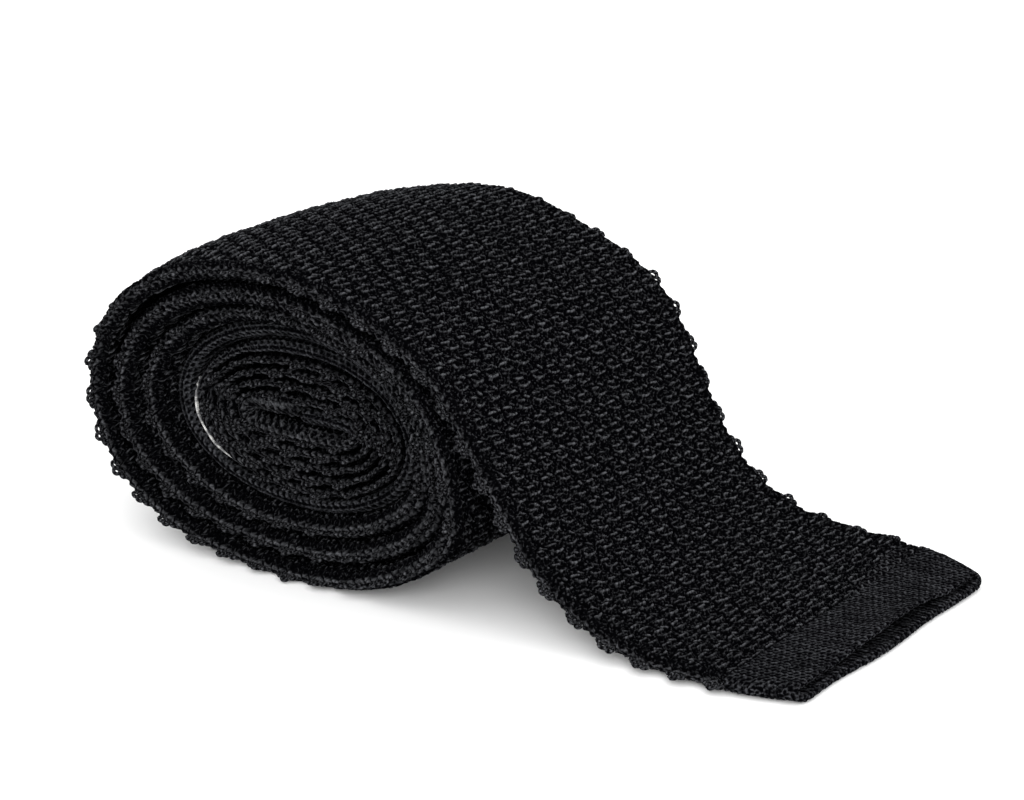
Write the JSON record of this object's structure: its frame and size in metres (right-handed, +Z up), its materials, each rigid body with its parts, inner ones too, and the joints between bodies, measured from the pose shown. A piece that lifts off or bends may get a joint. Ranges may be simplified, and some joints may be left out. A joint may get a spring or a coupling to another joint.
{
  "type": "knit tie",
  "caption": "Knitted necktie with square ends, wound into a loose roll with its wide end laid out flat in front.",
  "frame": {"origin": "on the surface that the tie lies on, under the middle of its bounding box", "axes": "+X from the roll to the laid-out wide end, +Y across the cloth's width along the roll's axis, +Z up"},
  "size_m": [0.1282, 0.0604, 0.0483],
  "materials": {
    "ribbed_knit": "matte",
    "plain_knit": "matte",
    "label_satin": "satin"
  },
  "bodies": {
    "root": {"blade_hem": "plain_knit", "blade": "ribbed_knit", "neck_band": "plain_knit", "tail": "ribbed_knit", "tail_hem": "plain_knit", "label": "label_satin"}
  },
  "joints": []
}
